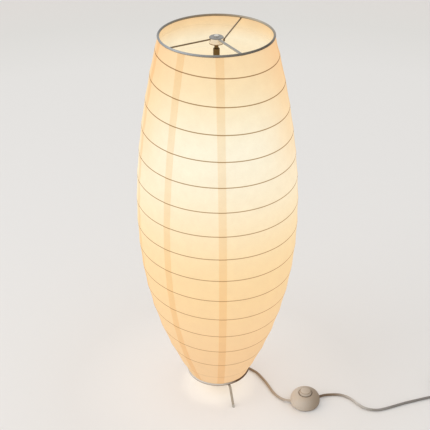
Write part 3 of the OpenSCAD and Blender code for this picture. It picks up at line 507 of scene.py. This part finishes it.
def mulberryPaper(name, tint):
    # handmade mulberry paper, lit from inside: pale fibres, cloudy thickness, and a painted shadow of each
    # hoop, a brown line along it
    s = paperLook
    material, tree, shader = newMaterial(name, s["pulp"], 0.88, ior=1.45)
    shader.inputs["Specular IOR Level"].default_value = s["shine"]
    place = addNode(tree, "ShaderNodeTexCoord")
    parts = addNode(tree, "ShaderNodeSeparateXYZ", Vector=place.outputs["Object"])
    height = addNode(tree, "ShaderNodeMapRange", Value=parts.outputs["Z"],
                     i1=shade["base"] * mm, i2=(shade["base"] + shade["tall"]) * mm)
    glow = addNode(tree, "ShaderNodeValToRGB", {"stops": s["glow"]}, Fac=height.outputs[0])
    glow.color_ramp.interpolation = "CARDINAL"
    cloud = addNode(tree, "ShaderNodeTexNoise", Vector=place.outputs["Object"], Scale=perMetre(s["patch"]),
                    Detail=5.0, Roughness=0.6)
    # the fibres lie level, so they are drawn a quarter as tall as long
    level = addNode(tree, "ShaderNodeMapping", Vector=place.outputs["Object"], Scale=(1.0, 1.0, 4.0))
    fibre = addNode(tree, "ShaderNodeTexNoise", Vector=level.outputs[0], Scale=perMetre(s["fibre"]),
                    Detail=3.0, Roughness=0.7)
    uneven = addNode(tree, "ShaderNodeMix", {"data_type": "FLOAT"}, i0=0.5, i2=cloud.outputs["Fac"],
                     i3=fibre.outputs["Fac"])
    density = addNode(tree, "ShaderNodeMapRange", Value=uneven.outputs[0], i1=0.35, i2=0.65,
                      i3=s["uneven"][0], i4=s["uneven"][1])
    # how far the nearest hoop is, in mm, is kept on the mesh
    away = addNode(tree, "ShaderNodeAttribute", {"attribute_name": "fromHoop"})
    depth = addNode(tree, "ShaderNodeValToRGB", {"stops": s["lineDepth"]}, Fac=height.outputs[0])
    # painted shadow of the hoop: it darkens the glow and the pulp near each hoop
    line = addNode(tree, "ShaderNodeMapRange", {"interpolation_type": "SMOOTHSTEP"},
                   Value=away.outputs["Fac"], i1=s["line"][0], i2=s["line"][1], i3=depth.outputs[0], i4=0.0)
    tinted = addNode(tree, "ShaderNodeMix", {"data_type": "RGBA", "blend_type": "MULTIPLY"}, i0=1.0,
                     i6=glow.outputs["Color"], i7=linear(tint))
    blocked = addNode(tree, "ShaderNodeMix", {"data_type": "RGBA", "blend_type": "MULTIPLY"},
                      i0=line.outputs[0], i6=tinted.outputs[2], i7=linear(s["lineGlow"]))
    pulp = addNode(tree, "ShaderNodeMix", {"data_type": "RGBA"}, i0=line.outputs[0],
                   i6=linear(s["pulp"]), i7=linear(s["linePulp"]))
    tintedPulp = addNode(tree, "ShaderNodeMix", {"data_type": "RGBA", "blend_type": "MULTIPLY"}, i0=1.0,
                         i6=pulp.outputs[2], i7=linear(tint))
    # painted shade: from the bulb's level up, paper that doesn't face the front glows yellower
    facing = addNode(tree, "ShaderNodeSeparateXYZ", Vector=place.outputs["Normal"])
    turned = addNode(tree, "ShaderNodeMapRange", {"interpolation_type": "SMOOTHSTEP"},
                     Value=facing.outputs["Y"], i1=s["sideFrom"][0], i2=s["sideFrom"][1])
    nearBulb = addNode(tree, "ShaderNodeMapRange", {"interpolation_type": "SMOOTHSTEP"},
                       Value=height.outputs[0], i1=s["bulbLevel"][0], i2=s["bulbLevel"][1])
    yellower = addNode(tree, "ShaderNodeMath", {"operation": "MULTIPLY"},
                       i0=turned.outputs[0], i1=nearBulb.outputs[0])
    whole = addNode(tree, "ShaderNodeMix", {"data_type": "RGBA", "blend_type": "MULTIPLY"},
                    i0=yellower.outputs[0], i6=blocked.outputs[2], i7=linear(s["paintedSideShade"]))
    tree.links.new(whole.outputs[2], shader.inputs["Emission Color"])
    tree.links.new(density.outputs[0], shader.inputs["Emission Strength"])
    tree.links.new(tintedPulp.outputs[2], shader.inputs["Base Color"])
    bump = addNode(tree, "ShaderNodeBump", Height=uneven.outputs[0], Strength=0.35, Distance=0.6 * mm)
    tree.links.new(bump.outputs["Normal"], shader.inputs["Normal"])
    return material


def innerPaper():  # the side that faces the bulb: brightest next to the bulb, warmer towards the rim
    s = paperLook
    material, tree, shader = newMaterial("mulberryPaperInside", s["insidePulp"], 0.9, ior=1.45)
    shader.inputs["Specular IOR Level"].default_value = s["shine"]
    place = addNode(tree, "ShaderNodeTexCoord")
    parts = addNode(tree, "ShaderNodeSeparateXYZ", Vector=place.outputs["Object"])
    height = addNode(tree, "ShaderNodeMapRange", Value=parts.outputs["Z"],
                     i1=(shade["base"] + shade["tall"] * s["insideFrom"]) * mm,
                     i2=(shade["base"] + shade["tall"]) * mm)
    glow = addNode(tree, "ShaderNodeValToRGB", {"stops": s["inside"]}, Fac=height.outputs[0])
    cloud = addNode(tree, "ShaderNodeTexNoise", Vector=place.outputs["Object"],
                    Scale=perMetre(s["insidePatch"]), Detail=5.0, Roughness=0.6)
    density = addNode(tree, "ShaderNodeMapRange", Value=cloud.outputs["Fac"], i1=0.35, i2=0.65,
                      i3=0.94, i4=1.04)
    tree.links.new(glow.outputs["Color"], shader.inputs["Emission Color"])
    tree.links.new(density.outputs[0], shader.inputs["Emission Strength"])
    return material


def outerRadius(z):  # the shade's profile: one curve above the belly and one below it
    s = shade
    if z >= s["belly"]:
        up = (z - s["belly"]) / (s["tall"] - s["belly"])
        return s["across"] / 2 - (s["across"] - s["top"]) / 2 * up ** s["upperPower"]
    down = (s["belly"] - z) / s["belly"]
    return s["across"] / 2 - (s["across"] - s["bottom"]) / 2 * down ** s["lowerPower"]


def levelOf(i, angle):  # height of edge or hoop i, counted from the paper's foot, at an angle from +X
    s, lay = shade, hoopLay
    if i == 0:
        return 0.0
    if i > s["hoops"]:
        return s["tall"]
    gap = (s["tall"] - s["topMargin"] - s["bottomMargin"]) / (s["hoops"] - 1)
    even = s["bottomMargin"] + (i - 1) * gap
    down = s["hoops"] - i
    swing = lay["swing"] * math.cos(2 * math.pi * (down - 1) / lay["wave"])
    lean = math.tan(math.radians(lay["lean"] + swing))
    nod = math.tan(math.radians(lay["nod"] * max(0, 1 - down / lay["nodTo"])))
    drop = lay["drop"] * max(0, 1 - down / lay["dropTo"])
    return even - drop + outerRadius(even) * (nod * (1 + math.sin(angle)) - lean * math.cos(angle))


def ripple(angle, z):
    return sum(deep * math.sin(waves * angle + z / rise + start) for deep, waves, rise, start in ripples)


def skinPoint(row, angle, inset=0.0):  # a point of the skin in mm, and its distance from the nearest hoop
    s = shade
    band = min(row // s["rowsPerBand"], s["hoops"])
    t = row / s["rowsPerBand"] - band
    low, high = levelOf(band, angle), levelOf(band + 1, angle)
    z = low + (high - low) * t
    slack = 4 * t * (1 - t)
    r = outerRadius(low) * (1 - t) + outerRadius(high) * t - slack * (s["pull"] + ripple(angle, z)) - inset
    toHoops = ([z - low] if band > 0 else []) + ([high - z] if band < s["hoops"] else [])
    return (r * math.cos(angle), r * math.sin(angle), s["base"] + z), min(toHoops)


def finishSkin(name, points, faces, inside=()):
    mesh = bpy.data.meshes.new(name)
    mesh.from_pydata([Vector(p) * mm for p, away in points], [], faces)
    distance = mesh.attributes.new("fromHoop", "FLOAT", "POINT")
    for entry, (p, away) in zip(distance.data, points):
        entry.value = away
    for k in inside:
        mesh.polygons[k].material_index = 1
    sharpen(mesh, shade["crease"])
    return mesh


def paperSkin():  # one closed skin: outside, inside and the two turned edges
    s = shade
    rows = (s["hoops"] + 1) * s["rowsPerBand"] + 1
    ring = s["around"]
    points = [skinPoint(row, 2 * math.pi * k / ring, inset)
              for inset in (0.0, s["thick"]) for row in range(rows) for k in range(ring)]
    outside, inside, edges = [], [], []
    for k in range(ring):
        step = (k + 1) % ring
        for row in range(rows - 1):
            a, b = row * ring + k, row * ring + step
            outside.append((a, b, b + ring, a + ring))
            c, d = a + rows * ring, b + rows * ring
            inside.append((c, c + ring, d + ring, d))
        last = (rows - 1) * ring
        edges.append((k, k + rows * ring, step + rows * ring, step))
        edges.append((last + k, last + step, last + step + rows * ring, last + k + rows * ring))
    first = len(outside) + len(edges)
    return finishSkin("paperSkin", points, outside + edges + inside, range(first, first + len(inside)))


def jointStrips():  # each strip is glued on from edge to edge and is as wide all the way up
    s = shade
    rows = (s["hoops"] + 1) * s["rowsPerBand"] + 1
    wide = s["stripAcross"] + 1
    layer = rows * wide
    points, faces = [], []
    for top, foot in s["seams"]:
        first = len(points)
        for lift in (s["stripGap"], s["stripGap"] + s["stripThick"]):
            for row in range(rows):
                middle = math.radians(foot + (top - foot) * row / (rows - 1) - 90)
                r = outerRadius(skinPoint(row, middle)[0][2] - s["base"])
                for k in range(wide):
                    across = (k / s["stripAcross"] - 0.5) * s["stripWide"] / r
                    points.append(skinPoint(row, middle + across, -lift))
        for row in range(rows - 1):
            for k in range(s["stripAcross"]):
                a = first + row * wide + k
                faces.append((a + layer, a + layer + 1, a + layer + wide + 1, a + layer + wide))
                faces.append((a + wide, a + wide + 1, a + 1, a))
            for k, turned in ((0, False), (s["stripAcross"], True)):
                a = first + row * wide + k
                side = (a, a + layer, a + layer + wide, a + wide)
                faces.append(side[::-1] if turned else side)
        for row, turned in ((0, False), (rows - 1, True)):
            for k in range(s["stripAcross"]):
                a = first + row * wide + k
                end = (a, a + 1, a + layer + 1, a + layer)
                faces.append(end[::-1] if turned else end)
    return finishSkin("jointStrips", points, faces)


def hoopLine(i):  # centre line of hoop i, inside the paper that it stretches
    s = shade
    inset = s["thick"] + s["glue"] + s["hoopWire"] / 2
    count = s["hoopPoints"]
    return [skinPoint(i * s["rowsPerBand"], 2 * math.pi * k / count, inset)[0] for k in range(count)]


inside = innerPaper()
addPiece("paperSkin", paperSkin(), [mulberryPaper("mulberryPaper", "#FFFFFF"), inside],
         ["paper_sheet_%d" % i for i in range(1, 8)])
addPiece("jointStrips", jointStrips(), [mulberryPaper("doubledMulberryPaper", paperLook["strip"])],
         ["joint_strips"])
for i in range(1, shade["hoops"] + 1):  # painted light: each hoop takes the inside paper's glow, so from inside it looks as bright as the paper it is glued to
    fromTop = shade["hoops"] + 1 - i
    name = "hoop%02d" % fromTop
    curve = wire(name, hoopLine(i), shade["hoopWire"], closed=True, roundness=2)
    addPiece(name, curve, [inside], ["hoop_%02d" % fromTop])
print("paper and hoops made")


# sizes and places in metres, powers in watts; the floor's colours go from the lamp's foot out to fadeTo:
# a painted pool of light round the foot, and painted shade, a little darker, far off
studio = {"floor": [(0.03, "#F7F6F6"), (0.06, "#F4F3F2"), (0.12, "#EBE9E7"), (0.70, "#EAE8E5"),
                    (0.87, "#E5E3DF"), (1.0, "#E6E2DE")],
          "floorSize": 30, "fadeTo": 3.0, "floorShine": 0.2, "sky": "#FFFFFF", "skyLevel": 0.91,
          "keyPower": 9.0, "keySize": 1.8, "keyPlace": (-2.1, -0.8, 1.9), "keyAim": (0, 0, 0.2),
          "glow": "#FFF0DC", "poolPower": 0.070, "poolSize": 0.10, "poolHeight": 0.20,
          "mouthPower": 0.006, "mouthSize": 0.125, "mouthHeight": 0.046}


def areaLight(name, shape, power, size, colour, place, aim):
    data = bpy.data.lights.new(name, "AREA")
    data.shape = shape
    data.energy = power
    data.size = size
    data.color = linear(colour)[:3]
    lamp = bpy.data.objects.new(name, data)
    lamp.location = place
    lamp.rotation_euler = (Vector(aim) - Vector(place)).to_track_quat("-Z", "Y").to_euler()
    scene.collection.objects.link(lamp)
    return lamp


def makeStudio():
    s = studio
    material, tree, shader = newMaterial("matteFloorPaintedPool", s["floor"][0][1], 0.95)
    shader.inputs["Specular IOR Level"].default_value = s["floorShine"]
    place = addNode(tree, "ShaderNodeTexCoord")
    far = addNode(tree, "ShaderNodeVectorMath", {"operation": "LENGTH"}, i0=place.outputs["Object"])
    paintedLightFade = addNode(tree, "ShaderNodeMapRange", Value=far.outputs["Value"], i2=s["fadeTo"])
    # a painted pool of light round the lamp's foot, and painted shade far off
    tone = addNode(tree, "ShaderNodeValToRGB", {"stops": s["floor"]}, Fac=paintedLightFade.outputs[0])
    tree.links.new(tone.outputs["Color"], shader.inputs["Base Color"])
    size = s["floorSize"]
    corners = [(-size, -size, 0), (size, -size, 0), (size, size, 0), (-size, size, 0)]
    mesh = bpy.data.meshes.new("floor")
    mesh.from_pydata(corners, [], [(0, 1, 2, 3)])
    mesh.materials.append(material)
    floor = bpy.data.objects.new("floor", mesh)
    scene.collection.objects.link(floor)
    world = bpy.data.worlds.new("studio")
    world.use_nodes = True
    background = world.node_tree.nodes["Background"]
    background.inputs["Color"].default_value = linear(s["sky"])
    background.inputs["Strength"].default_value = s["skyLevel"]
    scene.world = world
    areaLight("keyLight", "SQUARE", s["keyPower"], s["keySize"], "#FFFFFF", s["keyPlace"], s["keyAim"])
    for name in ("pool", "mouth"):  # the bulb's light that falls through the open foot of the shade
        lamp = areaLight(name + "Glow", "DISK", s[name + "Power"], s[name + "Size"], s["glow"],
                         (0, 0, s[name + "Height"]), (0, 0, 0))
        lamp.visible_camera = False


makeStudio()
scene.view_settings.view_transform = "Standard"
print("studio made")
